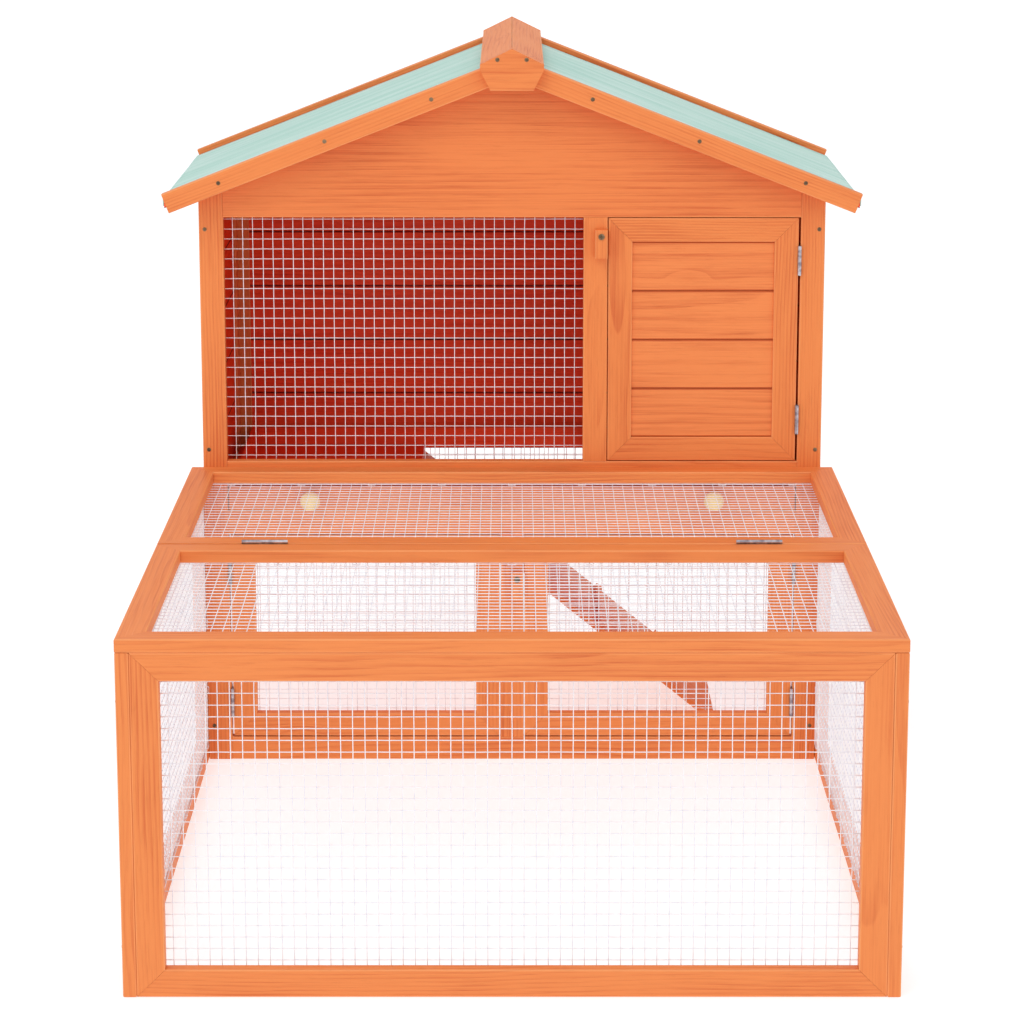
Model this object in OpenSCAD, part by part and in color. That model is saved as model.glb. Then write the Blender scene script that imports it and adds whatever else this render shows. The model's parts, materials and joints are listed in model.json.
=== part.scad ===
// Two-storey rabbit hutch: a raised house with a pitched felt roof, a wire run with a
// lifting lid in front of it, and open wire space below the house floor.
// +X is to the right, +Y runs from the run's front to the back of the house, +Z is up.
// The origin is on the ground, in the middle of the space that the hutch fills.

/* [Overall] */
// Width of the run over its side frames
run_w = 836; // [696:1:1004]
// Height of the run, up to the top of its lid
run_h = 399; // [332:0.5:480]
// Depth of the run, from its front face to the front of the house
run_l = 807.5; // [670:0.5:970]
// Depth of the lid, from the front of the run to the hinge seam
lid_l = 403.5; // [330:0.5:485]
// Depth of the house from front wall to back wall
house_d = 403; // [340:1:485]
// Height of the openings in the upper storey
room_h = 321; // [268:1:386]
// Slope of the roof
roof_pitch = 21.45; // [17.5:0.05:26]

/* [Battens and boards] */
// Width of the battens that frame every panel
batten_w = 31; // [26:0.1:37.5]
// Thickness of the battens
batten_t = 15; // [12.5:0.5:18]
// Open joint left between two battens of one frame
joint_gap = 0.15; // [0.1:0.05:0.3]
// Thickness of the thin boards that fill a frame
board_t = 8; // [6:0.5:10]
// Boards from the bottom to the top of the side walls
wall_boards = 5; // [3:1:7]
// Depth of the boards behind the faces of the battens
board_inset = 3.5; // [2:0.5:4.5]

/* [Wire mesh] */
// Distance from one wire to the next
mesh_pitch = 13; // [10:0.5:26]
// Thickness of a wire
wire_d = 1.2; // [0.8:0.1:1.6]
// Width of the mesh that is stapled to the frame
mesh_lap = 6; // [4:0.5:9]

/* [Doors] */
// Clearance round a door
door_gap = 1; // [0.5:0.1:2]
// Gap between a door and the post that it hinges on
hinge_gap = 2.6; // [2.6:0.1:3.2]
// Clear width of the nest door's opening
nest_w = 247.9; // [206:0.1:298]
// Boards in the nest door
door_boards = 4; // [2:1:6]
// Length of a door hinge
hinge_l = 38; // [32:1:45]
// Length of a lid hinge
lid_hinge_l = 54; // [45:1:65]
// Distance of each lid hinge from the middle
lid_hinge_x = 291; // [240:1:320]
// Radius of a hinge barrel
barrel_r = 2.5; // [2.2:0.1:3]
// Radius of a hinge pin
pin_r = 1.2; // [0.9:0.1:1.4]
// Radial clearance of a hinge pin
pin_fit = 0.05; // [0.02:0.01:0.1]

/* [Turn latches] */
// Length of a wooden turn latch
latch_l = 37; // [31:0.5:44]
// Width of a turn latch
latch_w = 16; // [12:0.5:17]
// Thickness of a turn latch
latch_t = 12; // [10:0.5:14]
// Distance from the screw to the latch's short end
latch_heel = 8.8; // [8:0.1:11]
// Radius of the screw that a latch turns on
latch_screw_r = 2; // [1.5:0.1:2.5]

/* [Tray, floor and ramp] */
// Height of the slot that the tray slides in
slot_h = 36; // [30:0.5:43]
// Thickness of the tray's base
tray_t = 5; // [4:0.5:8]
// Thickness of the tray's side walls
tray_wall = 8; // [6:0.5:10]
// Distance of each tray knob from the middle
knob_x = 263; // [200:1:310]
// Radius of a tray knob
knob_r = 13; // [10:0.5:15]
// Thickness of the house floor
floor_t = 10; // [8:0.5:14]
// Length of the hatch across the house, up to the nest's partition
hatch_l = 227.6; // [190:0.1:270]
// Width of the hatch, forward from the tray's back wall
hatch_w = 216; // [180:1:230]
// Length on the ground from the hatch's left edge to the foot of the ramp
ramp_run = 405; // [340:1:450]
// Thickness of the ramp board
ramp_t = 8; // [6:0.5:11]
// Distance between two cleats on the ramp
cleat_pitch = 110; // [80:1:130]
// Width of a cleat along the ramp
cleat_w = 10; // [8:0.5:14]
// Height of a cleat above the ramp
cleat_h = 6; // [4:0.5:8]

/* [Roof] */
// Overhang of the roof in front of and behind the house
overhang = 36; // [30:0.5:43]
// Overhang of the roof past the side walls
side_overhang = 43.5; // [36:0.5:52]
// Thickness of the roof boards
deck_t = 10; // [8:0.5:12]
// Thickness of the roofing felt
felt_t = 2; // [1.5:0.1:3]
// Width of the barge boards
barge_w = 26; // [22:0.5:31]
// Height that the barge boards stand above the felt
barge_proud = 7; // [5:0.5:9]
// Half the width of the ridge cap
cap_half = 40.3; // [34:0.1:48]
// Height of the ridge above the barge boards
cap_rise = 11; // [9:0.5:13]

/* [Hidden] */
$fn = 48;

stain = [0.87, 0.45, 0.20];
deep_stain = [0.62, 0.16, 0.07];
felt_green = [0.70, 0.86, 0.82];
zinc = [0.80, 0.81, 0.82];
steel = [0.72, 0.72, 0.73];
bare_wood = [0.90, 0.77, 0.48];

// Screws and small fits
screw_r = 1.5;
screw_head_r = 2.6;
screw_head_h = 1;
pilot_fit = 0.02;
screw_bite = 12;
low_screw_z = 1.5 * batten_w;
screw_apart = 8.5;
leaf_t = 1.1;
leaf_d = batten_t - 3;
leaf_stand = 0.15;
leaf_root = 0.4;
leaf_screw_r = 1;
leaf_head_r = 1.9;
knuckle_gap = 0.2;
hinge_drop = barrel_r - 0.2;
turn_gap = 0.4;
mesh_gap = 0.05;
mesh_t = 2 * wire_d + 3 * mesh_gap;
staple_room = 0.05;
door_play = 1.5;
shelf_lift = 1;

// Places along Y
plate_t = batten_t;
total_l = run_l + house_d + overhang + plate_t + screw_head_h;
front_y = -total_l / 2;
seam_y = front_y + lid_l;
wall_y = front_y + run_l;
inside_y = wall_y + batten_t;
back_y = wall_y + house_d;
back_inside_y = back_y - batten_t;
floor_back_y = back_inside_y - mesh_t - staple_room;
roof_front_y = wall_y - overhang;
roof_back_y = back_y + overhang;
run_lap = 2 * batten_t / 3;

// Places along X
run_half = run_w / 2;
side_fit = 0.5;
house_half = run_half - batten_t - side_fit;
post_in = house_half - batten_w;
room_half = house_half - batten_t;
hinge_x = post_in - hinge_gap / 2;
door_edge = post_in - hinge_gap;
nest_left = post_in - nest_w;
centre_half = batten_w / 2;
partition_t = 10;
partition_x = nest_left - door_gap / 2 - batten_w / 2 - partition_t / 2;

// Levels
run_rail_z = run_h - batten_t;
sill_top = batten_w;
lift_over_run = 7.5;
opening_z = run_h + lift_over_run;
mid_rail_z = opening_z - batten_w;
slot_z = mid_rail_z - slot_h;
ledge_z = slot_z - batten_w;
floor_z = slot_z + 0.5;
bearer_z = floor_z - floor_t;
side_rail_z = ledge_z + shelf_lift;
board_low_z = side_rail_z + batten_w;
tray_play = 0.5;
tray_z = floor_z + tray_play;
tray_head_room = 2.5;
tray_top = mid_rail_z - tray_head_room;
opening_top = opening_z + room_h;
eave_z = opening_top + batten_w;
slope = tan(roof_pitch);
lift = 1 / cos(roof_pitch);
under_ridge = eave_z + slope * house_half;
felt_ridge = under_ridge + (deck_t + felt_t) * lift;
barge_ridge = felt_ridge + barge_proud * lift;
ridge_z = barge_ridge + cap_rise;
cap_edge = 7.1;
roof_half = house_half + side_overhang;
barge_over_eave = 2;
felt_room = 2.5;
eave_half = roof_half - barge_over_eave;

function roof_under(x) = under_ridge - slope * abs(x);
function barge_top(x) = barge_ridge - slope * abs(x);
cap_side_z = barge_top(cap_half) + cap_edge;
function cap_top(x) = ridge_z - (ridge_z - cap_side_z) * abs(x) / cap_half;

// ---- Shapes that repeat ----

// A box between two corners
module block(low, high) {
    translate(low) cube(high - low);
}

// An outline in X and Z, from one Y to another
module upright(y0, y1, outline) {
    translate([0, y1, 0]) rotate([90, 0, 0]) linear_extrude(y1 - y0) polygon(outline);
}

// Moves a shape drawn flat in XY so that it stands in XZ, with its back at y
module facing_front(x, y, z) {
    translate([x, y, z]) rotate([90, 0, 0]) children();
}

// Moves a shape drawn flat in XY so that it stands in YZ, with its left face at x
module facing_side(x, y, z) {
    translate([x, y, z]) rotate([90, 0, 90]) children();
}

// Four battens mitred at the corners, with a hairline joint between them
module mitred_frame(w, h) {
    g = joint_gap;
    b = batten_w;
    linear_extrude(batten_t) {
        polygon([[g, 0], [w - g, 0], [w - b - g, b], [b + g, b]]);
        polygon([[g, h], [w - g, h], [w - b - g, h - b], [b + g, h - b]]);
        polygon([[0, g], [b, b + g], [b, h - b - g], [0, h - g]]);
        polygon([[w, g], [w - b, b + g], [w - b, h - b - g], [w, h - g]]);
    }
}

// Welded mesh: upright wires in front of level ones, held by a wire round the edge
function wire_places(length) =
    let (n = floor((length / 2 - 2 * wire_d) / mesh_pitch))
    [for (i = [-n:n]) length / 2 + i * mesh_pitch];

module grille(w, h) {
    difference() {
        cube([w, h, mesh_t]);
        translate([wire_d, wire_d, -1]) cube([w - 2 * wire_d, h - 2 * wire_d, mesh_t + 2]);
    }
    for (x = wire_places(w))
        translate([x - wire_d / 2, wire_d / 2, mesh_gap]) cube([wire_d, h - wire_d, wire_d]);
    for (y = wire_places(h))
        translate([wire_d / 2, y - wire_d / 2, wire_d + 2 * mesh_gap])
            cube([w - wire_d, wire_d, wire_d]);
}

// A pan-head screw along +Z, with its head below z = 0
module screw(r, length, head_r, head_h) {
    translate([0, 0, -head_h]) cylinder(r = head_r, h = head_h);
    cylinder(r = r, h = length);
}

// The hole that a screw along +Z is driven into
module pilot(r, length) {
    translate([0, 0, -1]) cylinder(r = r + pilot_fit, h = length + 1);
}

// Hinge, with its axis on Z. The wood's face is at y = hinge_drop, the post is on +x
// and the door is on -x. Side 1 is the fixed leaf, with two knuckles; -1 is the moving one.
module hinge_leaf(length, side) {
    knuckle = (length - 2 * knuckle_gap) / 3;
    starts = side > 0 ? [-length / 2, length / 2 - knuckle] : [-knuckle / 2];
    leaf_x = side > 0 ? hinge_gap / 2 - leaf_t : -hinge_gap / 2;
    difference() {
        union() {
            translate([leaf_x, barrel_r + leaf_stand, -length / 2]) cube([leaf_t, leaf_d, length]);
            for (z = starts) {
                translate([0, 0, z]) cylinder(r = barrel_r, h = knuckle);
                translate([leaf_x, pin_r + leaf_root, z]) cube([leaf_t, barrel_r, knuckle]);
            }
        }
        translate([0, 0, -length]) cylinder(r = pin_r + pin_fit, h = 2 * length);
        for (z = [-length / 4, length / 4])
            translate([leaf_x - 1, barrel_r + leaf_d / 2, z])
                rotate([0, 90, 0]) cylinder(r = leaf_head_r + pilot_fit, h = leaf_t + 2);
    }
}

module hinge_pin(length) {
    translate([0, 0, -length / 2]) cylinder(r = pin_r, h = length);
}

// Places whatever is given at the two screws of one leaf, pointing into the wood
module at_leaf_screws(length, side) {
    for (z = [-length / 4, length / 4])
        translate([side * hinge_gap / 2, barrel_r + leaf_d / 2, z])
            rotate([0, side * 90, 0]) children();
}

module leaf_screws(length, side) {
    at_leaf_screws(length, side) screw(leaf_screw_r, screw_bite - 2, leaf_head_r, leaf_t - 0.1);
}

module leaf_pilots(length, side) {
    at_leaf_screws(length, side) pilot(leaf_screw_r, screw_bite - 1.5);
}

// Places of the hinges: up the right-hand post, or along the lid's seam
lower_door_z = sill_top + door_play;
lower_door_h = ledge_z - door_play - lower_door_z;
lower_hinge_in = 46.5;
lower_hinge_zs = [lower_door_z + lower_hinge_in, lower_door_z + lower_door_h - lower_hinge_in];
nest_door_h = room_h - 2 * door_gap;
nest_hinge_in = 56;
nest_hinge_zs = [opening_z + nest_hinge_in, opening_top - nest_hinge_in];

module at_post_hinges(heights) {
    for (z = heights) translate([hinge_x, wall_y - hinge_drop, z]) children();
}

module at_lid_hinges() {
    for (side = [-1, 1])
        translate([side * lid_hinge_x, seam_y, run_h + hinge_drop])
            rotate([-90, 0, 90]) children();
}

// Places whatever is given at every hinge that is screwed to the right-hand post
module on_right_post() {
    at_post_hinges(nest_hinge_zs) children();
    at_post_hinges(lower_hinge_zs) children();
}

// The same at the left-hand post, which carries only the lower door
module on_left_post() {
    mirror([1, 0, 0]) at_post_hinges(lower_hinge_zs) children();
}

// Screws that hold the front and back walls to the side walls
wall_screw_x = house_half - batten_t / 2;
wall_screw_zs = [low_screw_z, opening_z + batten_w / 2, opening_top - batten_w / 2];

module at_wall_screws() {
    for (side = [-1, 1], z = wall_screw_zs) {
        translate([side * wall_screw_x, wall_y, z]) rotate([-90, 0, 0]) children();
        translate([side * wall_screw_x, back_y, z]) rotate([90, 0, 0]) children();
    }
}

// Screws through the barge boards into the ends of the roof boards
first_barge_screw = 102;
last_barge_screw = roof_half - 73;
barge_screw_xs = [first_barge_screw, (first_barge_screw + last_barge_screw) / 2, last_barge_screw];
barge_mid = barge_w * lift / 2;

module at_barge_screws() {
    for (side = [-1, 1], x = barge_screw_xs) {
        translate([side * x, roof_front_y, barge_top(x) - barge_mid])
            rotate([-90, 0, 0]) children();
        translate([side * x, roof_back_y, barge_top(x) - barge_mid])
            rotate([90, 0, 0]) children();
    }
}

// Screws through the ridge plates into the ends of the ridge caps
plate_screw_x = 18.4;
plate_screw_z = (barge_top(plate_screw_x) + cap_top(plate_screw_x)) / 2;

module at_plate_screws() {
    for (side = [-1, 1]) {
        translate([side * plate_screw_x, roof_front_y - plate_t, plate_screw_z])
            rotate([-90, 0, 0]) children();
        translate([side * plate_screw_x, roof_back_y + plate_t, plate_screw_z])
            rotate([90, 0, 0]) children();
    }
}

// Screws through the run's side frames into its front frame and into the house posts
run_screw_ys = [front_y + batten_t / 2, wall_y + run_lap / 2];
run_screw_in = low_screw_z + screw_apart;
run_screw_zs = [run_screw_in, run_rail_z - run_screw_in];

module at_run_screws() {
    for (side = [-1, 1], y = run_screw_ys, z = run_screw_zs)
        translate([side * run_half, y, z]) rotate([0, side * -90, 0]) children();
}

// Pivots of the turn latches
nest_pivot_in = 8.8;
nest_pivot_drop = 23.5;
lower_pivot_x = 6.6;
right_pivot_drop = 57.1;
left_pivot_drop = 25.6;
lower_door_top = lower_door_z + lower_door_h;
nest_pivot = [nest_left - nest_pivot_in, wall_y, opening_top - nest_pivot_drop];
right_pivot = [lower_pivot_x, wall_y, lower_door_top - right_pivot_drop];
left_pivot = [-lower_pivot_x, wall_y, lower_door_top - left_pivot_drop];

module at_latch_screws() {
    for (pivot = [nest_pivot, right_pivot, left_pivot])
        translate(pivot) rotate([-90, 0, 0]) children();
}

// ---- House walls ----

module post_outline_cut(side, y0) {
    a = side * post_in;
    b = side * house_half;
    upright(y0, y0 + batten_t, [[a, 0], [b, 0], [b, roof_under(b)], [a, roof_under(a)]]);
}

module front_posts() {
    color(stain) difference() {
        for (side = [-1, 1]) post_outline_cut(side, wall_y);
        at_wall_screws() pilot(screw_r, batten_t + 1);
        at_run_screws() pilot(screw_r, batten_t + 2 * screw_bite);
        on_right_post() leaf_pilots(hinge_l, 1);
        on_left_post() leaf_pilots(hinge_l, 1);
    }
}

module front_rails() {
    color(stain) for (z = [0, ledge_z, mid_rail_z])
        block([-post_in, wall_y, z], [post_in, inside_y, z + batten_w]);
}

module gable(y0) {
    upright(y0, y0 + batten_t, [
        [-post_in, opening_top], [post_in, opening_top],
        [post_in, roof_under(post_in)], [0, under_ridge], [-post_in, roof_under(post_in)]
    ]);
}

module front_gable() {
    color(stain) gable(wall_y);
}

module mullion() {
    left = nest_left - door_gap / 2 - batten_w;
    color(stain) difference() {
        block([left, wall_y, opening_z], [left + batten_w, inside_y, opening_top]);
        at_latch_screws() pilot(latch_screw_r, screw_bite);
    }
}

module centre_post() {
    color(stain) difference() {
        block([-centre_half, wall_y, sill_top], [centre_half, inside_y, ledge_z]);
        at_latch_screws() pilot(latch_screw_r, screw_bite);
    }
}

// One side wall's battens: two stiles, and rails at the ground, the floor and the eave
module side_frame(side) {
    a = side * room_half;
    b = side * house_half;
    g = joint_gap;
    stile = [[a, 0], [b, 0], [b, roof_under(b)], [a, roof_under(a)]];
    top_rail = [[a, opening_top], [b, opening_top], [b, roof_under(b)], [a, roof_under(a)]];
    rail_y0 = inside_y + batten_w + g;
    rail_y1 = back_inside_y - batten_w - g;
    upright(inside_y, inside_y + batten_w, stile);
    upright(back_inside_y - batten_w, back_inside_y, stile);
    upright(rail_y0, rail_y1, top_rail);
    for (z = [0, side_rail_z])
        block([min(a, b), rail_y0, z], [max(a, b), rail_y1, z + batten_w]);
}

module side_frames() {
    color(stain) difference() {
        for (side = [-1, 1]) side_frame(side);
        at_wall_screws() pilot(screw_r, batten_t + screw_bite + 1);
    }
}

module side_boards() {
    board = (opening_top - board_low_z) / wall_boards;
    outer = house_half - board_inset;
    color(deep_stain) for (side = [-1, 1], i = [0:wall_boards - 1])
        block(
            [min(side * outer, side * (outer - board_t)), inside_y + batten_w, board_low_z + i * board],
            [max(side * outer, side * (outer - board_t)), back_inside_y - batten_w,
             board_low_z + (i + 1) * board - 2 * joint_gap]
        );
}

module back_posts() {
    color(stain) difference() {
        for (side = [-1, 1]) post_outline_cut(side, back_inside_y);
        at_wall_screws() pilot(screw_r, batten_t + 1);
    }
}

// The upper rail leaves a slot under the boards, level with the hatch
back_rail_z = bearer_z - batten_t - batten_w;

module back_rails() {
    color(stain) for (z = [0, back_rail_z])
        block([-post_in, back_inside_y, z], [post_in, back_y, z + batten_w]);
}

// Back wall: level boards between the posts, and the gable above them
module back_boards() {
    board = (opening_top - board_low_z) / wall_boards;
    color(deep_stain) {
        for (i = [0:wall_boards - 1])
            block(
                [-post_in, back_y - board_inset - board_t, board_low_z + i * board],
                [post_in, back_y - board_inset, board_low_z + (i + 1) * board - 2 * joint_gap]
            );
        gable(back_inside_y);
    }
}

// ---- Floor, nest and ramp ----

module floor_bearers() {
    color(stain) for (side = [-1, 1])
        block(
            [min(side * room_half, side * (room_half - batten_t)), inside_y, bearer_z - batten_t],
            [max(side * room_half, side * (room_half - batten_t)), floor_back_y, bearer_z]
        );
}

// The tray's own space, and the hatch in front of its back wall
tray_side_play = 1.5;
tray_half = post_in - tray_side_play;
tray_back_play = 5;
tray_back_y = back_inside_y - tray_back_play;
tray_rim_drop = 2;
hatch_y1 = tray_back_y - tray_wall;
hatch_y0 = hatch_y1 - hatch_w;
hatch_right = partition_x;
hatch_left = hatch_right - hatch_l;

// The floor is open from the hatch to the back wall
module house_floor() {
    color(deep_stain) difference() {
        block([-room_half, inside_y, bearer_z], [room_half, floor_back_y, floor_z]);
        block([hatch_left, hatch_y0, bearer_z - 1], [hatch_right, back_y, floor_z + 1]);
    }
}

// Wall between the open room and the nest, with a doorway near the back
doorway_back = 25;
doorway_w = 131.7;
doorway_h = 176.5;
nest_door_y1 = back_inside_y - doorway_back;
nest_door_y0 = nest_door_y1 - doorway_w;

module nest_partition() {
    color(deep_stain) difference() {
        block([partition_x, inside_y, mid_rail_z + tray_play],
              [partition_x + partition_t, back_inside_y, opening_top]);
        block([partition_x - 1, nest_door_y0, mid_rail_z - 1],
              [partition_x + partition_t + 1, nest_door_y1, mid_rail_z + doorway_h]);
    }
}

// Ramp from the hatch's left edge down to the ground
ramp_top = floor_z - 2;
ramp_toe = 6.5;
ramp_fall = (ramp_top - ramp_toe) / ramp_run;
ramp_angle = atan(ramp_fall);
ramp_side = 2;
cleat_side = 8;
first_cleat = 94;
last_cleat_room = 60;

module ramp_board() {
    foot = hatch_left + ramp_run;
    under = ramp_top - ramp_t / cos(ramp_angle);
    color(stain) upright(hatch_y0 + ramp_side, hatch_y1 - ramp_side, [
        [hatch_left, ramp_top], [foot, ramp_toe], [foot, 0],
        [hatch_left + under / ramp_fall, 0], [hatch_left, under]
    ]);
}

module ramp_cleats() {
    slant = ramp_run / cos(ramp_angle);
    count = floor((slant - last_cleat_room) / cleat_pitch);
    color(stain) for (i = [0:count - 1])
        translate([hatch_left, 0, ramp_top]) rotate([0, ramp_angle, 0])
            block([first_cleat + i * cleat_pitch, hatch_y0 + cleat_side, 0],
                  [first_cleat + cleat_w + i * cleat_pitch, hatch_y1 - cleat_side, cleat_h]);
}

// ---- House wire ----

// At the sides the wire ends just under the floor's bearers, and at the back over the boards
under_mesh_z = batten_w - mesh_lap;
side_mesh_h = bearer_z - batten_t - staple_room - under_mesh_z;
back_mesh_h = board_low_z + mesh_lap - under_mesh_z;

module front_mesh() {
    left = -post_in - mesh_lap;
    right = nest_left - door_gap / 2 - batten_w + mesh_lap;
    color(zinc) facing_front(left, inside_y + mesh_t, opening_z - mesh_lap)
        grille(right - left, room_h + 2 * mesh_lap);
}

module back_mesh() {
    w = 2 * (post_in + mesh_lap);
    color(zinc) facing_front(-w / 2, back_inside_y, under_mesh_z) grille(w, back_mesh_h);
}

module side_mesh(x) {
    y0 = inside_y + batten_w - mesh_lap;
    y1 = back_inside_y - batten_w + mesh_lap;
    color(zinc) facing_side(x, y0, under_mesh_z) grille(y1 - y0, side_mesh_h);
}

module left_mesh() {
    side_mesh(-room_half);
}

module right_mesh() {
    side_mesh(room_half - mesh_t);
}

// ---- Roof ----

// One slope of the roof between two lines that lie above or below the felt's top
module roof_slope(side, y0, y1, low, high, reach) {
    g = side * joint_gap;
    e = side * reach;
    upright(y0, y1, [
        [g, low - slope * joint_gap], [e, low - slope * reach],
        [e, high - slope * reach], [g, high - slope * joint_gap]
    ]);
}

module roof_decks() {
    color(deep_stain) difference() {
        for (side = [-1, 1])
            roof_slope(side, roof_front_y + batten_t, roof_back_y - batten_t,
                       under_ridge, felt_ridge - felt_t * lift, eave_half);
        at_barge_screws() pilot(screw_r, batten_t + screw_bite + 1);
    }
}

module roof_felts() {
    color(felt_green) for (side = [-1, 1])
        roof_slope(side, roof_front_y + batten_t, roof_back_y - batten_t - felt_room,
                   felt_ridge - felt_t * lift, felt_ridge, eave_half);
}

// A barge board is mitred at the ridge and cut square at its lower end
module barge_board(side, y0) {
    drop = barge_w * lift;
    g = joint_gap;
    toe_x = roof_half - barge_w * sin(roof_pitch);
    toe_z = barge_top(roof_half) - barge_w * cos(roof_pitch);
    upright(y0, y0 + batten_t, [
        [side * g, barge_top(g)], [side * roof_half, barge_top(roof_half)], [side * toe_x, toe_z],
        [side * g, barge_top(g) - drop]
    ]);
}

module barge_boards() {
    color(stain) difference() {
        for (side = [-1, 1], y = [roof_front_y, roof_back_y - batten_t]) barge_board(side, y);
        at_barge_screws() pilot(screw_r, batten_t + 1);
    }
}

module ridge_caps() {
    color(stain) difference() {
        for (side = [-1, 1])
            upright(roof_front_y, roof_back_y, [
                [side * joint_gap, barge_top(joint_gap)], [side * cap_half, barge_top(cap_half)],
                [side * cap_half, cap_side_z], [side * joint_gap, cap_top(joint_gap)]
            ]);
        at_plate_screws() pilot(screw_r, plate_t + screw_bite);
    }
}

plate_taper = 13.3;

module ridge_plates() {
    toe = cap_half - plate_taper;
    toe_z = barge_top(cap_half) - barge_w;
    color(stain) difference() {
        for (y = [roof_front_y - plate_t, roof_back_y])
            upright(y, y + plate_t, [
                [-toe, toe_z], [toe, toe_z], [cap_half, barge_top(cap_half)], [cap_half, cap_side_z],
                [0, ridge_z], [-cap_half, cap_side_z], [-cap_half, barge_top(cap_half)]
            ]);
        at_plate_screws() pilot(screw_r, plate_t + 1);
    }
}

// ---- Run ----

run_frame_half = run_half - batten_t;

module run_front_frame() {
    color(stain) difference() {
        facing_front(-run_frame_half, front_y + batten_t, 0)
            mitred_frame(2 * run_frame_half, run_rail_z);
        at_run_screws() pilot(screw_r, batten_t + screw_bite + 1);
    }
}

module run_side_frames() {
    color(stain) difference() {
        for (x = [-run_half, run_frame_half])
            facing_side(x, front_y, 0) mitred_frame(run_l + run_lap, run_rail_z);
        at_run_screws() pilot(screw_r, batten_t + 1);
    }
}

back_frame_y0 = seam_y + hinge_gap / 2;
back_frame_l = wall_y - back_frame_y0;
lid_frame_l = lid_l - hinge_gap / 2;

module run_top_frame() {
    color(stain) difference() {
        translate([-run_half, back_frame_y0, run_rail_z]) mitred_frame(run_w, back_frame_l);
        at_lid_hinges() leaf_pilots(lid_hinge_l, 1);
    }
}

module run_front_mesh() {
    w = 2 * (run_frame_half - batten_w + mesh_lap);
    h = run_rail_z - 2 * batten_w + 2 * mesh_lap;
    color(zinc) facing_front(-w / 2, front_y + batten_t + mesh_t, batten_w - mesh_lap)
        grille(w, h);
}

module run_side_mesh(x) {
    w = run_l + run_lap - 2 * batten_w + 2 * mesh_lap;
    h = run_rail_z - 2 * batten_w + 2 * mesh_lap;
    color(zinc) facing_side(x, front_y + batten_w - mesh_lap, batten_w - mesh_lap) grille(w, h);
}

module run_left_mesh() {
    run_side_mesh(-run_frame_half);
}

module run_right_mesh() {
    run_side_mesh(run_frame_half - mesh_t);
}

module top_mesh(y0, length) {
    w = run_w - 2 * batten_w + 2 * mesh_lap;
    color(zinc) translate([-w / 2, y0 + batten_w - mesh_lap, run_rail_z - mesh_t])
        grille(w, length - 2 * batten_w + 2 * mesh_lap);
}

module run_top_mesh() {
    top_mesh(back_frame_y0, back_frame_l);
}

// ---- Screws, hinges and latches of the fixed structure ----

module wall_screws() {
    color(steel) at_wall_screws()
        screw(screw_r, batten_t + screw_bite, screw_head_r, screw_head_h);
}

module roof_screws() {
    color(steel) {
        at_barge_screws() screw(screw_r, batten_t + screw_bite, screw_head_r, screw_head_h);
        at_plate_screws() screw(screw_r, plate_t + screw_bite - 1, screw_head_r, screw_head_h);
    }
}

module run_screws() {
    color(steel) at_run_screws()
        screw(screw_r, batten_t + screw_bite, screw_head_r, screw_head_h);
}

latch_stack = turn_gap + latch_t + turn_gap / 2;

module latch_screws() {
    color(steel) at_latch_screws() translate([0, 0, -latch_stack])
        screw(latch_screw_r, latch_stack + screw_bite - 1, 2 * latch_screw_r, 2);
}

module hinge_leaves() {
    color(zinc) {
        on_right_post() hinge_leaf(hinge_l, 1);
        on_left_post() hinge_leaf(hinge_l, 1);
        at_lid_hinges() hinge_leaf(lid_hinge_l, 1);
    }
}

module hinge_pins() {
    color(steel) {
        on_right_post() hinge_pin(hinge_l);
        on_left_post() hinge_pin(hinge_l);
        at_lid_hinges() hinge_pin(lid_hinge_l);
    }
}

module hinge_screws() {
    color(steel) {
        on_right_post() leaf_screws(hinge_l, 1);
        on_left_post() leaf_screws(hinge_l, 1);
        at_lid_hinges() leaf_screws(lid_hinge_l, 1);
    }
}

// ---- Lid ----

module lid_frame() {
    color(stain) difference() {
        translate([-run_half, front_y, run_rail_z]) mitred_frame(run_w, lid_frame_l);
        at_lid_hinges() leaf_pilots(lid_hinge_l, -1);
    }
}

module lid_mesh() {
    top_mesh(front_y, lid_frame_l);
}

module lid_leaves() {
    color(zinc) at_lid_hinges() hinge_leaf(lid_hinge_l, -1);
}

module lid_screws() {
    color(steel) at_lid_hinges() leaf_screws(lid_hinge_l, -1);
}

// ---- Nest door ----

nest_door_w = nest_w - hinge_gap - door_gap / 2;
nest_door_z = opening_z + door_gap;

module nest_door_frame() {
    color(stain) difference() {
        facing_front(door_edge - nest_door_w, inside_y, nest_door_z)
            mitred_frame(nest_door_w, nest_door_h);
        at_post_hinges(nest_hinge_zs) leaf_pilots(hinge_l, -1);
    }
}

module nest_door_boards() {
    left = door_edge - nest_door_w + batten_w;
    low = nest_door_z + batten_w;
    board = (nest_door_h - 2 * batten_w) / door_boards;
    color(stain) for (i = [0:door_boards - 1])
        block([left, wall_y + board_inset, low + i * board],
              [door_edge - batten_w, wall_y + board_inset + board_t,
               low + (i + 1) * board - 2 * joint_gap]);
}

module nest_door_leaves() {
    color(zinc) at_post_hinges(nest_hinge_zs) hinge_leaf(hinge_l, -1);
}

module nest_door_screws() {
    color(steel) at_post_hinges(nest_hinge_zs) leaf_screws(hinge_l, -1);
}

// ---- Lower doors: the left one mirrors the right one ----

lower_door_x = centre_half + door_gap;
lower_door_w = door_edge - lower_door_x;

module lower_door_frame() {
    difference() {
        facing_front(lower_door_x, inside_y, lower_door_z)
            mitred_frame(lower_door_w, lower_door_h);
        at_post_hinges(lower_hinge_zs) leaf_pilots(hinge_l, -1);
    }
}

module lower_door_mesh() {
    inner = batten_w - mesh_lap;
    facing_front(lower_door_x + inner, inside_y + mesh_t, lower_door_z + inner)
        grille(lower_door_w - 2 * inner, lower_door_h - 2 * inner);
}

module right_door_frame() {
    color(stain) lower_door_frame();
}

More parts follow.
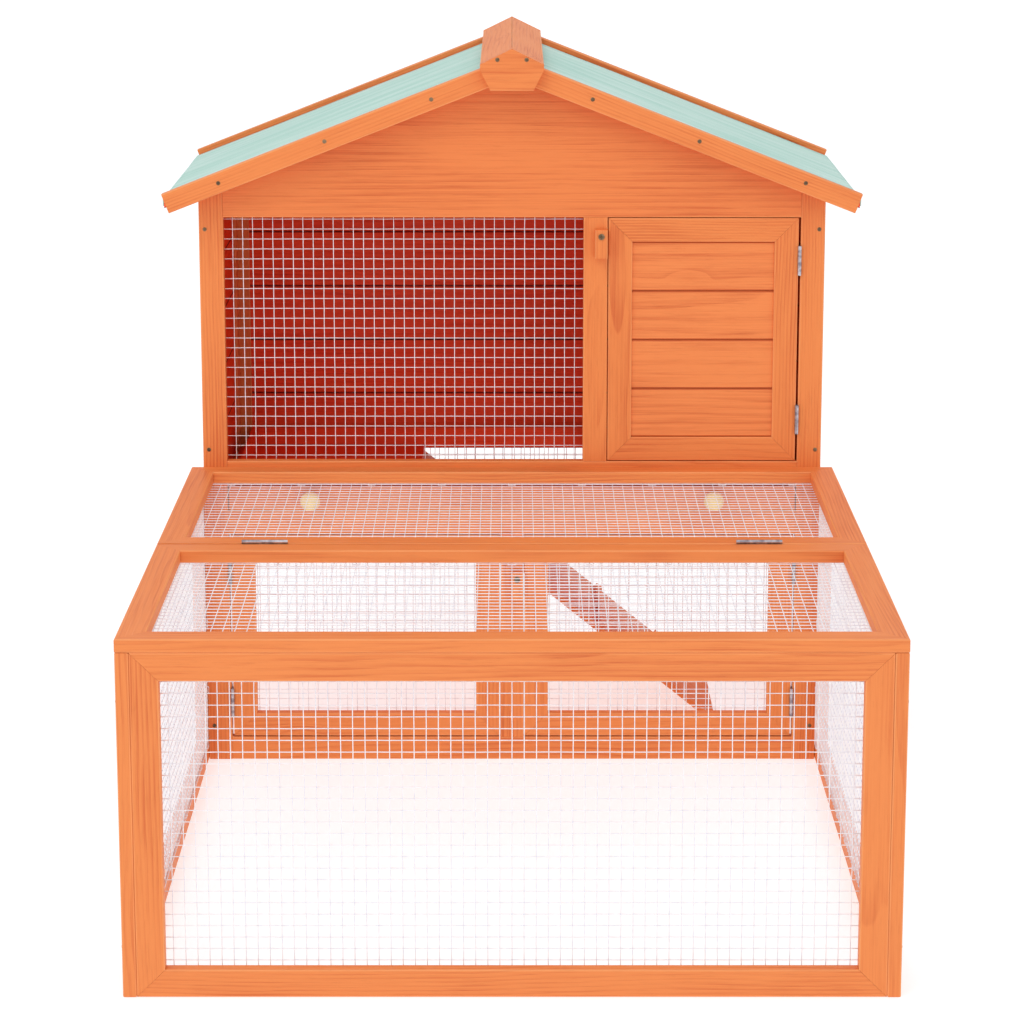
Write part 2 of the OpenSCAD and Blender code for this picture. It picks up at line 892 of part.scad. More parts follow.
module right_door_mesh() {
    color(zinc) lower_door_mesh();
}

module right_door_leaves() {
    color(zinc) at_post_hinges(lower_hinge_zs) hinge_leaf(hinge_l, -1);
}

module right_door_screws() {
    color(steel) at_post_hinges(lower_hinge_zs) leaf_screws(hinge_l, -1);
}

module left_door_frame() {
    color(stain) mirror([1, 0, 0]) lower_door_frame();
}

module left_door_mesh() {
    color(zinc) mirror([1, 0, 0]) lower_door_mesh();
}

module left_door_leaves() {
    color(zinc) mirror([1, 0, 0]) at_post_hinges(lower_hinge_zs) hinge_leaf(hinge_l, -1);
}

module left_door_screws() {
    color(steel) mirror([1, 0, 0]) at_post_hinges(lower_hinge_zs) leaf_screws(hinge_l, -1);
}

// ---- Turn latches, standing upright, clear of the doors ----

// A latch on its pivot, with its long end pointing down
module turn_latch() {
    difference() {
        block([-latch_w / 2, -turn_gap - latch_t, latch_heel - latch_l],
              [latch_w / 2, -turn_gap, latch_heel]);
        translate([0, 1, 0]) rotate([90, 0, 0])
            cylinder(r = latch_screw_r + pin_fit, h = latch_t + 3);
    }
}

module nest_latch() {
    color(stain) translate(nest_pivot) turn_latch();
}

module right_latch() {
    color(stain) translate(right_pivot) turn_latch();
}

module left_latch() {
    color(stain) translate(left_pivot) rotate([0, 180, 0]) turn_latch();
}

// ---- Tray ----

module tray_base() {
    color(deep_stain) difference() {
        block([-tray_half, inside_y, tray_z], [tray_half, tray_back_y, tray_top - tray_rim_drop]);
        block([-tray_half + tray_wall, inside_y - 1, tray_z + tray_t],
              [tray_half - tray_wall, tray_back_y - tray_wall, tray_top]);
        block([hatch_left, hatch_y0, tray_z - 1], [hatch_right, hatch_y1, tray_top]);
    }
}

module at_knobs() {
    for (side = [-1, 1])
        translate([side * knob_x, wall_y, (tray_z + tray_top) / 2]) rotate([90, 0, 0]) children();
}

module tray_front() {
    color(stain) block([-tray_half, wall_y, tray_z], [tray_half, inside_y, tray_top]);
}

// A turned ball on a short neck
neck_l = 5;
neck_r = 5.85;
ball_sink = 1.3;

module tray_knobs() {
    color(bare_wood) at_knobs() {
        cylinder(r = neck_r, h = neck_l + knob_r);
        translate([0, 0, neck_l + knob_r - ball_sink]) sphere(r = knob_r);
    }
}

front_posts();
front_rails();
front_gable();
mullion();
centre_post();
side_frames();
side_boards();
back_posts();
back_rails();
back_boards();
floor_bearers();
house_floor();
nest_partition();
ramp_board();
ramp_cleats();
front_mesh();
back_mesh();
left_mesh();
right_mesh();
roof_decks();
roof_felts();
barge_boards();
ridge_caps();
ridge_plates();
run_front_frame();
run_side_frames();
run_top_frame();
run_front_mesh();
run_left_mesh();
run_right_mesh();
run_top_mesh();
wall_screws();
roof_screws();
run_screws();
latch_screws();
hinge_leaves();
hinge_pins();
hinge_screws();
lid_frame();
lid_mesh();
lid_leaves();
lid_screws();
nest_door_frame();
nest_door_boards();
nest_door_leaves();
nest_door_screws();
left_door_frame();
left_door_mesh();
left_door_leaves();
left_door_screws();
right_door_frame();
right_door_mesh();
right_door_leaves();
right_door_screws();
nest_latch();
left_latch();
right_latch();
tray_base();
tray_front();
tray_knobs();
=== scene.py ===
import json
import math
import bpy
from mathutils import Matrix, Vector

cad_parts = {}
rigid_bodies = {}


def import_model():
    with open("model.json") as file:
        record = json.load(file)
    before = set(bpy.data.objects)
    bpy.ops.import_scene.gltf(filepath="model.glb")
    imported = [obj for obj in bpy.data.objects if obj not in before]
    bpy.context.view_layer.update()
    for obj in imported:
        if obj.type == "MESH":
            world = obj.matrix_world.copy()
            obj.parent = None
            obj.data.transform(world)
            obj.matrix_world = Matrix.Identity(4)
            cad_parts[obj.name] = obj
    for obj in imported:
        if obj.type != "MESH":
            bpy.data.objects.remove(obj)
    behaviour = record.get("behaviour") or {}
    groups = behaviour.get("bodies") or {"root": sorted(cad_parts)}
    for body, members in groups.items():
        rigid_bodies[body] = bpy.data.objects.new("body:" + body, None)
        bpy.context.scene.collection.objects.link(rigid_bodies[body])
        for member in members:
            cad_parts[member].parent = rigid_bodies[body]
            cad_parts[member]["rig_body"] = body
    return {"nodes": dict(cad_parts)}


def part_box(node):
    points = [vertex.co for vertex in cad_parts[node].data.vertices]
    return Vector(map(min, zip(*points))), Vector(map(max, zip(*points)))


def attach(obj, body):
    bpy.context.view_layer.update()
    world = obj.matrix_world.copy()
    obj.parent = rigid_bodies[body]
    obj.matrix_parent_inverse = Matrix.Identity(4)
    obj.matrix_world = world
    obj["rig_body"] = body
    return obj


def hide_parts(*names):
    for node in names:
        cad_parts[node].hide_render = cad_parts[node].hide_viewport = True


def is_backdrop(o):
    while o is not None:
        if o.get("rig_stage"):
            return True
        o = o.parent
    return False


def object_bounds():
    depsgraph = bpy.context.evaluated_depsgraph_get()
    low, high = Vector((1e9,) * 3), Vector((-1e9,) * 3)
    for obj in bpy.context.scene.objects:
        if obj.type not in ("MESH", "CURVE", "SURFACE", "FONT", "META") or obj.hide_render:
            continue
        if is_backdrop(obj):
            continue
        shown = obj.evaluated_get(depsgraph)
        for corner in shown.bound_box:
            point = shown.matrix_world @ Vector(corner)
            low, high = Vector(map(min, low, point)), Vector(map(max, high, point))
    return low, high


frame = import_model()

import zlib

import bmesh
import bpy
import numpy as np

cad_low, cad_high = (list(corner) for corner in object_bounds())

# ---------------------------------------------------------------------------------------------------------
# The setting: a pale floor under soft studio light, and a camera that stands square in front of the run
# and looks slightly down on its wire top.

STAND_BACK = 3.1166     # from the run's front to the lens
EYE_HEIGHT = 1.3011
LOOK_DOWN = 11.504      # degrees below the horizon
LENS = 108.41           # mm, on a 36 mm sensor
FALL = -0.12            # share of the picture's width that the lens is shifted down
FLOOR_HALF = 30.0
FLOOR_DROP = 0.0004     # keeps the floor just under the feet
FLOOR_GLOW = 0.55       # a little light of its own, so that it stays pale in the hutch's shade
SKY_LIGHT = 0.84        # soft light from all round


def add_object(name, data):
    """Puts new mesh, camera or light data into the scene as an object."""
    thing = bpy.data.objects.new(name, data)
    bpy.context.scene.collection.objects.link(thing)
    return thing


class Paint:
    """A socket in a material. Python's own signs on it add Math nodes, and node() adds any other node."""

    def __init__(self, tree, socket=None):
        self.tree, self.socket = tree, socket

    def node(self, kind, settings=(), inputs=(), output=0):
        """Adds one node: its settings first, then the values or links of its sockets; gives one output."""
        made = self.tree.nodes.new("ShaderNode" + kind)
        for name, value in dict(settings).items():
            if name == "stops":
                for i, (place, colour) in enumerate(value):
                    while len(made.color_ramp.elements) <= i:
                        made.color_ramp.elements.new(1.0)
                    made.color_ramp.elements[i].position = place
                    made.color_ramp.elements[i].color = colour
            else:
                setattr(made, name, value)
        for name, value in dict(inputs).items():
            if isinstance(value, Paint):
                self.tree.links.new(value.socket, made.inputs[name])
            else:
                made.inputs[name].default_value = value
        return Paint(self.tree, made.outputs[output] if made.outputs else None)

    def maths(self, operation, *values):
        return self.node("Math", {"operation": operation}, enumerate(values))

    def __add__(self, other):
        return self.maths("ADD", self, other)

    def __sub__(self, other):
        return self.maths("SUBTRACT", self, other)

    def __rsub__(self, other):
        return self.maths("SUBTRACT", other, self)

    def __mul__(self, other):
        return self.maths("MULTIPLY", self, other)

    def __pow__(self, other):
        return self.maths("POWER", self, other)

    __radd__ = __add__
    __rmul__ = __mul__

    def stretch(self, along, across, up):
        """The vector with each of its three parts scaled by its own factor."""
        return self.node("VectorMath", {"operation": "MULTIPLY"}, {0: self, 1: (along, across, up)})

    def noise(self, scale, detail=2.0, output="Fac"):
        return self.node("TexNoise", {}, {"Vector": self, "Scale": scale, "Detail": detail}, output)

    def between(self, low, high):
        """0 where the value is under low, 1 where it is over high, and smooth between them."""
        settings = {"interpolation_type": "SMOOTHSTEP"}
        return self.node("MapRange", settings, {"Value": self, "From Min": low, "From Max": high})

    def mix(self, first, second, blend="MIX"):
        """The first colour where this value is 0, and the second where it is 1."""
        settings = {"data_type": "RGBA", "blend_type": blend, "clamp_factor": True}
        return self.node("Mix", settings, {0: self, 6: first, 7: second}, 2)


def tint(red, green, blue):
    """A colour as seen on a screen, 0 to 255, in the linear values that the shader takes."""
    seen = np.array([red, green, blue]) / 255
    linear = np.where(seen <= 0.04045, seen / 12.92, ((seen + 0.055) / 1.055) ** 2.4)
    return (*linear.tolist(), 1.0)


def new_material(name):
    made = bpy.data.materials.new(name)
    made.use_nodes = True
    made.node_tree.nodes.clear()
    return made, Paint(made.node_tree)


def finish_surface(paint, sockets, height=None, depth=0.0):
    """Ends a material in one shader, with height, in shares of depth, as its relief."""
    sockets = dict(sockets)
    if height is not None:
        sockets["Normal"] = paint.node("Bump", {}, {"Distance": depth, "Height": height}, "Normal")
    shader = paint.node("BsdfPrincipled", {}, sockets, "BSDF")
    paint.node("OutputMaterial", {}, {"Surface": shader})


floor_mesh = bpy.data.meshes.new("floor")
floor_corners = [(x * FLOOR_HALF, y * FLOOR_HALF, -FLOOR_DROP)
                 for x, y in ((-1, -1), (1, -1), (1, 1), (-1, 1))]
floor_mesh.from_pydata(floor_corners, [], [(0, 1, 2, 3)])
floor_paint, paint = new_material("studio_floor")
finish_surface(paint, {"Base Color": tint(205, 207, 210), "Roughness": 0.9, "Specular IOR Level": 0.1,
                       "Emission Color": (1.0, 1.0, 1.0, 1.0), "Emission Strength": FLOOR_GLOW})
floor_mesh.materials.append(floor_paint)
floor = add_object("floor", floor_mesh)
floor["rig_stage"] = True

camera = add_object("camera", bpy.data.cameras.new("camera"))
camera.location = (0, cad_low[1] - STAND_BACK, EYE_HEIGHT)
camera.rotation_euler = (math.radians(90 - LOOK_DOWN), 0, 0)
camera.data.lens = LENS
camera.data.shift_y = FALL
bpy.context.scene.camera = camera

world = bpy.data.worlds.new("studio")
world.use_nodes = True
world.node_tree.nodes["Background"].inputs["Color"].default_value = (1, 1, 1, 1)
world.node_tree.nodes["Background"].inputs["Strength"].default_value = SKY_LIGHT
bpy.context.scene.world = world
bpy.context.scene.view_settings.view_transform = "Standard"

for name, place, aim, size, power in (
        ("key_light", (-1.2, -1.9, 3.4), (0.0, 0.0, 0.4), 2.0, 27.0),
        ("fill_light", (2.4, -1.6, 2.4), (0.0, 0.1, 0.4), 2.0, 6.0)):
    lamp = add_object(name, bpy.data.lights.new(name, "AREA"))
    lamp.data.size = size
    lamp.data.energy = power
    lamp.location = place
    reach = [b - a for a, b in zip(place, aim)]
    across = math.hypot(reach[0], reach[1])
    lamp.rotation_euler = (math.pi / 2 + math.atan2(reach[2], across), 0, math.atan2(-reach[0], reach[1]))

# ---------------------------------------------------------------------------------------------------------
# The frame of the house: fir battens, planed, with their long edges eased, and dipped in an orange-brown
# stain that takes deeper on the hard late wood. Screws hold the front and back walls to the side walls.

EDGE_EASE = 0.0015      # how far a batten's long edges are rounded over
PITH_NEAR, PITH_FAR = 0.03, 0.10    # how far from a board the middle of its log was
LOG_LEAN = 0.016        # slope of the log's middle against the board
NOISE_APART = 60.0      # keeps one board's grain from repeating in the next
MERGE = 1e-6            # points nearer than this are one
WITH_GRAIN = 0.9        # cosine of the most that an edge may turn from the grain
ARRIS_ANGLE = 0.6       # radians: a blunter edge is left as it is


def mesh_arrays(mesh):
    """The points and edges of a mesh as two arrays."""
    points = np.empty(len(mesh.vertices) * 3)
    edges = np.empty(len(mesh.edges) * 2, int)
    mesh.vertices.foreach_get("co", points)
    mesh.edges.foreach_get("vertices", edges)
    return points.reshape(-1, 3), edges.reshape(-1, 2)


def loose_parts(count, edges):
    """For each point, the lowest number of any point joined to it, which names its board."""
    label = np.arange(count)
    while True:
        lowest = np.minimum(label[edges[:, 0]], label[edges[:, 1]])
        joined = label.copy()
        np.minimum.at(joined, edges[:, 0], lowest)
        np.minimum.at(joined, edges[:, 1], lowest)
        joined = joined[joined]
        if (joined == label).all():
            return label
        label = joined


def board_axes(points, edges, board):
    """The direction of each edge, its length, and, under each board's label, that of its longest edge."""
    run = points[edges[:, 1]] - points[edges[:, 0]]
    length = np.linalg.norm(run, axis=1)
    run /= np.maximum(length, 1e-9)[:, None]
    axis = np.tile([1.0, 0.0, 0.0], (len(points), 1))
    order = np.argsort(length)
    axis[board[edges[order, 0]]] = run[order]
    return run, length, axis


def set_grain(mesh, seed, fibre=None):
    """Stores where each point lies in its own log: metres along the board, and two ways across it from a
    middle that leans a little against the board, so that rings come out as long arches."""
    points, edges = mesh_arrays(mesh)
    board = loose_parts(len(points), edges)
    if fibre is None:
        axis = board_axes(points, edges, board)[2][board]
    else:
        axis = np.tile(fibre, (len(points), 1))
    helper = np.where(np.abs(axis[:, 2:]) > 0.7, [[1.0, 0.0, 0.0]], [[0.0, 0.0, 1.0]])
    side = np.cross(axis, helper)
    side /= np.linalg.norm(side, axis=1)[:, None]
    share = np.bincount(board, minlength=len(points))
    centre = np.stack([np.bincount(board, points[:, i], len(points)) for i in range(3)], 1)
    local = points - (centre / np.maximum(share, 1)[:, None])[board]
    along = np.einsum("ij,ij->i", local, axis)
    luck = np.random.default_rng(zlib.crc32(seed.encode())).random((len(points), 4))[board]
    turn, far = luck[:, 0] * 2 * np.pi, PITH_NEAR + luck[:, 1] * (PITH_FAR - PITH_NEAR)
    lean = along * LOG_LEAN * (luck[:, 2] - 0.5) * 2
    across = np.einsum("ij,ij->i", local, side) + far * np.cos(turn) + lean
    through = np.einsum("ij,ij->i", local, np.cross(axis, side)) + far * np.sin(turn)
    grain = np.stack([along + NOISE_APART * luck[:, 3], across, through], 1)
    store = mesh.attributes.new("grain", "FLOAT_VECTOR", "POINT")
    store.data.foreach_set("vector", grain.ravel())


def planed(node, finishes, ease=EDGE_EASE, fibre=None):
    """Remakes a CAD node's boards with the edges that run with the grain rounded over by ease."""
    bm = bmesh.new()
    bm.from_mesh(frame["nodes"][node].data)
    bmesh.ops.remove_doubles(bm, verts=bm.verts, dist=MERGE)
    bmesh.ops.dissolve_limit(bm, angle_limit=math.radians(1), verts=bm.verts, edges=bm.edges)
    mesh = bpy.data.meshes.new(node + "_planed")
    bm.to_mesh(mesh)
    points, edges = mesh_arrays(mesh)
    board = loose_parts(len(points), edges)
    run, length, axis = board_axes(points, edges, board)
    with_grain = np.abs(np.einsum("ij,ij->i", run, axis[board[edges[:, 0]]])) > WITH_GRAIN
    long_enough = with_grain & (length > 4 * ease)
    arrises = [edge for edge, wanted in zip(bm.edges, long_enough)
               if wanted and edge.calc_face_angle(0) > ARRIS_ANGLE]
    bmesh.ops.bevel(bm, geom=arrises, offset=ease, offset_type="OFFSET", segments=3, profile=0.5,
                    affect="EDGES", clamp_overlap=False, material=1)
    bm.to_mesh(mesh)
    bm.free()
    set_grain(mesh, node, fibre)
    for finish in finishes:
        mesh.materials.append(finish)
    made = add_object(node + "_planed", mesh)
    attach(made, frame["nodes"][node]["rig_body"])
    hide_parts(node)
    return made


def fir(name, early, late, ring_gap=0.0042, contrast=0.75):
    """Stained softwood. Rings are the distance from the log's middle over ring_gap: pale early wood
    darkens slowly to a thin late line, then drops back. Noise drawn out along the board bends them and
    adds fibres, and the nearest of a few scattered points is a knot."""
    made, paint = new_material(name)
    grain = paint.node("Attribute", {"attribute_name": "grain"}, {}, "Vector")
    wander = grain.stretch(1.0, 5.0, 5.0).noise(2.6, 2.0, "Color")
    bent = paint.node("VectorMath", {"operation": "MULTIPLY_ADD"},
                      {0: wander, 1: (0.0, 0.022, 0.022), 2: grain.stretch(0.0, 1.0, 1.0)})
    radius = paint.node("VectorMath", {"operation": "LENGTH"}, {0: bent}, "Value")
    scattered = grain.stretch(1.0, 3.2, 3.2)
    cell = paint.node("TexVoronoi", {}, {"Vector": scattered, "Scale": 3.4}, "Distance")
    knot = 1 - cell.between(0.0, 0.16)
    rings = radius * (1 / ring_gap) + knot * 1.6
    year = rings.maths("FRACT", rings)
    line = year.between(0.25, 0.92) * (1 - year.between(0.93, 1.0))
    fibres = grain.stretch(9.0, 620.0, 620.0).noise(1.0, 3.0)
    cloud = grain.stretch(1.0, 4.0, 4.0).noise(5.0, 3.0)
    pores = grain.stretch(40.0, 1500.0, 1500.0).noise(1.0, 1.0).between(0.62, 0.74)
    depth = line * (cloud * contrast) + (fibres - 0.5) * 1.1 + (cloud - 0.5) * 0.8
    depth = depth + pores * 0.10 + knot * 0.10
    colour = depth.between(-0.15, 1.05).mix(early, late)
    sockets = {"Base Color": colour, "Roughness": 0.44 + fibres * 0.16, "Specular IOR Level": 0.38}
    finish_surface(paint, sockets, line * 0.5 + fibres * 0.9 - pores * 0.5, 0.00022)
    return made


STAIN = fir("stained_fir", tint(238, 138, 72), tint(206, 94, 42), contrast=0.6)
# Painted highlight: the eased edges get a paler stain, as if they caught the light.
ARRIS_PAINTED_HIGHLIGHT = fir("stained_fir_painted_highlight", tint(243, 154, 92), tint(216, 110, 56), contrast=0.4)
for node in ("front_posts", "front_rails", "mullion", "centre_post", "side_frames", "back_posts",
             "back_rails", "floor_bearers"):
    planed(node, (STAIN, ARRIS_PAINTED_HIGHLIGHT))

# ---------------------------------------------------------------------------------------------------------
# The gable over the front opening: one wide board, cut to the roof's pitch, with wider rings in its grain.
# It fills the front wall from the openings up to the roof boards.

GABLE = fir("gable_fir", tint(238, 134, 70), tint(198, 84, 36), ring_gap=0.0090, contrast=0.42)
planed("front_gable", (GABLE, ARRIS_PAINTED_HIGHLIGHT), ease=0.001)

# ---------------------------------------------------------------------------------------------------------
# The wall boards, floor, partition and roof decks: thin sawn boards that lie between the battens. Inside the
# house they are painted a deep brick red that stands in for shade, and outside the walls have the battens'
# own orange.

BOARD_EASE = 0.0012
# Painted shade: the deep red of the inner faces stands in for the shade inside the house, where the stain is
# the same orange as outside. The darker red of their eased edges is partly the boards' own dark joint line
# and partly the same painted shade.
INNER_PAINTED_SHADE = fir("inner_boards", tint(252, 84, 34), tint(222, 52, 18), ring_gap=0.0055, contrast=0.6)
INNER_ARRIS_PAINTED_SHADE = fir("inner_arris_painted_shade", tint(150, 40, 18), tint(112, 26, 12), contrast=0.3)
OUTSIDE = 0.05          # from the house's middle to a face, counted along the way that it looks


def stain_outside(piece, finish):
    """Gives finish to the faces that look out of the house: a level step from the middle of the floor to
    the middle of the face, times the face's normal, is more than OUTSIDE. The faces inside, and all eased
    edges, keep the painted shade of the first two finishes."""
    mesh = piece.data
    mesh.materials.append(finish)
    middle, normal = (np.empty(len(mesh.polygons) * 3) for _ in range(2))
    mesh.polygons.foreach_get("center", middle)
    mesh.polygons.foreach_get("normal", normal)
    low, high = (np.array(corner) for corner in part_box("house_floor"))
    reach = (middle.reshape(-1, 3) - (low + high) / 2) * normal.reshape(-1, 3)
    outer = reach[:, :2].sum(1) > OUTSIDE
    slots = np.empty(len(mesh.polygons), int)
    mesh.polygons.foreach_get("material_index", slots)
    slots[outer & (slots == 0)] = len(mesh.materials) - 1
    mesh.polygons.foreach_set("material_index", slots)


for node in ("side_boards", "back_boards", "house_floor", "nest_partition", "roof_decks"):
    boards = planed(node, (INNER_PAINTED_SHADE, INNER_ARRIS_PAINTED_SHADE), ease=BOARD_EASE)
    if node in ("side_boards", "back_boards"):
        stain_outside(boards, GABLE)

# ---------------------------------------------------------------------------------------------------------
# The ramp down from the upper room: one board that leans in the hatch, with cleats nailed across it that
# give a rabbit's feet a hold.

planed("ramp_board", (GABLE, ARRIS_PAINTED_HIGHLIGHT), ease=BOARD_EASE)
planed("ramp_cleats", (STAIN, ARRIS_PAINTED_HIGHLIGHT), ease=0.001)

# ---------------------------------------------------------------------------------------------------------
# The roof's timber: barge boards under both ends of the roof, a cap along the ridge, and a shaped plate at
# each end that hides the cap's end and where the barge boards meet.

for node in ("barge_boards", "ridge_caps"):
    planed(node, (STAIN, ARRIS_PAINTED_HIGHLIGHT))
planed("ridge_plates", (STAIN, ARRIS_PAINTED_HIGHLIGHT), fibre=(1.0, 0.0, 0.0))

# ---------------------------------------------------------------------------------------------------------
# The run and its lid: mitred frames of the same battens. The front half of the run's top is the lid, and
# its hinges are let into the seam.

for node in ("run_front_frame", "run_side_frames", "run_top_frame", "lid_frame"):
    planed(node, (STAIN, ARRIS_PAINTED_HIGHLIGHT))

# ---------------------------------------------------------------------------------------------------------
# The doors: mitred frames, the nest's with four boards let in and the lower two with wire. Small wooden
# turn latches hold them shut.

for node in ("nest_door_frame", "left_door_frame", "right_door_frame"):
    planed(node, (STAIN, ARRIS_PAINTED_HIGHLIGHT))
DOOR_BOARD = fir("door_board_fir", tint(242, 140, 76), tint(200, 88, 38), ring_gap=0.0075, contrast=0.5)
JOINT = fir("door_board_arris", tint(206, 100, 48), tint(160, 62, 26), contrast=0.4)
planed("nest_door_boards", (DOOR_BOARD, JOINT), ease=0.0018)
for node in ("nest_latch", "left_latch", "right_latch"):
    planed(node, (STAIN, ARRIS_PAINTED_HIGHLIGHT), ease=0.0012)

# ---------------------------------------------------------------------------------------------------------
# The tray that slides out under the upper room for cleaning: a shallow tray of thin boards, with a batten
# for its front.

# The tray's thin boards take the inner boards' painted shade.
planed("tray_base", (INNER_PAINTED_SHADE, INNER_ARRIS_PAINTED_SHADE), ease=0.0006)
planed("tray_front", (STAIN, ARRIS_PAINTED_HIGHLIGHT))

# ---------------------------------------------------------------------------------------------------------
# The wire: welded mesh of galvanised wire, upright wires in front of level ones, one panel to each frame.
# The zinc that joins them at each crossing is thin, and the wires are not quite straight between crossings.

WIRE_PITCH = 0.013
WIRE_RADIUS = 0.0005     # a tenth of a millimetre less than the CAD's, so that the mesh looks fine
WIRE_SIDES = 6
WIRE_WANDER = 0.00006    # how far a wire strays at a crossing, as a standard deviation
WELDED_APART = 1.9       # radii between the middles of two wires that are welded into each other


def tubes(centres, one, two, sides):
    """Closed tubes along rows of centres. A ring's points are centre + one * cos(a) + two * sin(a), for
    angles a that step round the circle. Gives the points and the faces."""
    rows, rings = centres.shape[:2]
    angle = np.arange(sides) * 2 * np.pi / sides
    ring = one[..., None, :] * np.cos(angle)[:, None] + two[..., None, :] * np.sin(angle)[:, None]
    points = (centres[:, :, None] + ring).reshape(-1, 3)
    index = np.arange(rows * rings * sides).reshape(rows, rings, sides)
    after = np.roll(index, -1, 2)
    walls = np.stack([index[:, :-1], after[:, :-1], after[:, 1:], index[:, 1:]], -1).reshape(-1, 4)
    return points, walls.tolist() + index[:, 0, ::-1].tolist() + index[:, -1].tolist()


def wire_places(low, high):
    """Where the wires lie between two edges: one at each edge, the rest a pitch apart about the middle."""
    count = int((high - low - 8 * WIRE_RADIUS) / 2 / WIRE_PITCH)
    inner = (low + high) / 2 + np.arange(-count, count + 1) * WIRE_PITCH
    return np.concatenate([[low + WIRE_RADIUS], inner, [high - WIRE_RADIUS]])


def join_shapes(shapes):
    """Several lists of points and faces as one."""
    points, faces = [], []
    for more_points, more_faces in shapes:
        faces += [[corner + sum(map(len, points)) for corner in face] for face in more_faces]
        points.append(more_points)
    return np.concatenate(points), faces


def set_piece(name, shape, body, finish, replaces=(), smooth=True):
    """Makes a new piece of points and faces, and gives it its material, its body and what it stands for."""
    mesh = bpy.data.meshes.new(name)
    mesh.from_pydata(shape[0].tolist(), [], shape[1])
    mesh.polygons.foreach_set("use_smooth", np.full(len(mesh.polygons), smooth))
    mesh.materials.append(finish)
    piece = add_object(name, mesh)
    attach(piece, body)
    if replaces:
        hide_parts(*replaces)
    return piece


def wire_layer(low, high, run, step, level, luck):
    """The wires of one layer: each runs along axis run, they lie side by side along axis step, and their
    middles are at level on the third axis. Each bends a little at its crossings."""
    through = 3 - run - step
    places = wire_places(low[step], high[step])
    crossings = wire_places(low[run], high[run])
    crossings[[0, -1]] = low[run], high[run]
    centres = np.empty((len(places), len(crossings), 3))
    centres[..., run] = crossings
    centres[..., step] = places[:, None]
    centres[..., through] = level
    centres[:, 1:-1, step] += luck.normal(0, WIRE_WANDER, (len(places), len(crossings) - 2))
    axes = np.eye(3) * WIRE_RADIUS
    one, two = (np.broadcast_to(axes[(run + turn) % 3], centres.shape) for turn in (1, 2))
    return tubes(centres, one, two, WIRE_SIDES)


def welded_wire(node, through, run):
    """A panel of mesh in the place of a CAD node. Axis through goes through the panel, and the wires of its
    first layer run along axis run."""
    low, high = (np.array(corner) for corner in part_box(node))
    step = 3 - through - run
    luck = np.random.default_rng(zlib.crc32(node.encode()))
    first = wire_layer(low, high, run, step, low[through] + WIRE_RADIUS, luck)
    second = wire_layer(low, high, step, run, low[through] + (1 + WELDED_APART) * WIRE_RADIUS, luck)
    body = frame["nodes"][node]["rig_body"]
    set_piece(node + "_wires", join_shapes([first, second]), body, ZINC, (node,))


def metal(name, colour, dull, rough, bite, shine=0.88):
    """Plated steel: patches of duller crystals by noise, and a finer noise for the coat's own grain. Bite is
    how much rougher a dull patch is, and shine how metallic the coat looks."""
    made, paint = new_material(name)
    place = paint.node("TexCoord", {}, {}, "Object")
    patch = place.noise(140.0, 3.0).between(0.3, 0.7)
    speck = place.noise(1600.0, 2.0)
    sockets = {"Base Color": patch.mix(colour, dull), "Metallic": shine, "Roughness": rough + patch * bite}
    finish_surface(paint, sockets, speck + patch * 0.5, 0.00004)
    return made


ZINC = metal("galvanised_wire", tint(250, 250, 253), tint(236, 237, 244), 0.5, 0.2, shine=0.35)
X, Y, Z = range(3)
WIRE_PANELS = {
    "front_mesh": (Y, Z), "back_mesh": (Y, Z), "left_mesh": (X, Z), "right_mesh": (X, Z),
    "run_front_mesh": (Y, Z), "run_left_mesh": (X, Z), "run_right_mesh": (X, Z), "run_top_mesh": (Z, Y),
    "lid_mesh": (Z, Y), "left_door_mesh": (Y, Z), "right_door_mesh": (Y, Z)}
for node, (through, run) in WIRE_PANELS.items():
    welded_wire(node, through, run)

# ---------------------------------------------------------------------------------------------------------
# The staples that hold each panel of wire to the back of its frame: bright wire, bent square at both ends,
# with its legs driven into the battens on either side of a wire.

STAPLE_EVERY = 7        # wires from one staple to the next
STAPLE_HALF = 0.0046    # half its width
STAPLE_LEG = 0.005      # how far each leg is driven in
STAPLE_RADIUS = 0.0005
STAPLE_IN = 0.0028      # from the edge of the mesh


def staple_row(places, run, step, through, edge, face, inward):
    """Staples along one edge. Each is a wire through four points: leg, two corners, leg. At a corner the
    ring lies on the bisector, so it is longer by the square root of two across the bend."""
    across = np.array([-STAPLE_HALF, -STAPLE_HALF, STAPLE_HALF, STAPLE_HALF])
    depth = np.array([-STAPLE_LEG, STAPLE_RADIUS, STAPLE_RADIUS, -STAPLE_LEG]) * inward
    centres = np.empty((len(places), 4, 3))
    centres[..., run] = places[:, None] + across
    centres[..., step] = edge
    centres[..., through] = face + depth
    one = np.zeros((4, 3))
    two = np.zeros((4, 3))
    one[:, step] = STAPLE_RADIUS
    two[:, run] = np.array([-1, -1, 1, 1]) * STAPLE_RADIUS
    two[1:3, through] = np.array([1, -1]) * inward * STAPLE_RADIUS
    if np.cross(one[0], two[0])[through] * inward < 0:
        one *= -1
    one, two = (np.broadcast_to(way, centres.shape) for way in (one, two))
    return tubes(centres, one, two, WIRE_SIDES)


def staples(node, through, inward):
    """Four rows of staples round a panel, on the face that is away from its frame. Inward is 1 or -1, the
    way along axis through from the frame to that face."""
    low, high = (np.array(corner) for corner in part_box(node))
    face = (low if inward < 0 else high)[through]
    rows = []
    for run in {X, Y, Z} - {through}:
        step = 3 - through - run
        places = wire_places(low[run], high[run])[1:-1]
        places = places[len(places) // 2 % STAPLE_EVERY::STAPLE_EVERY]
        for edge in (low[step] + STAPLE_IN, high[step] - STAPLE_IN):
            rows.append(staple_row(places, run, step, through, edge, face, inward))
    name, body = node.replace("mesh", "staples"), frame["nodes"][node]["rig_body"]
    set_piece(name, join_shapes(rows), body, ZINC, smooth=False)


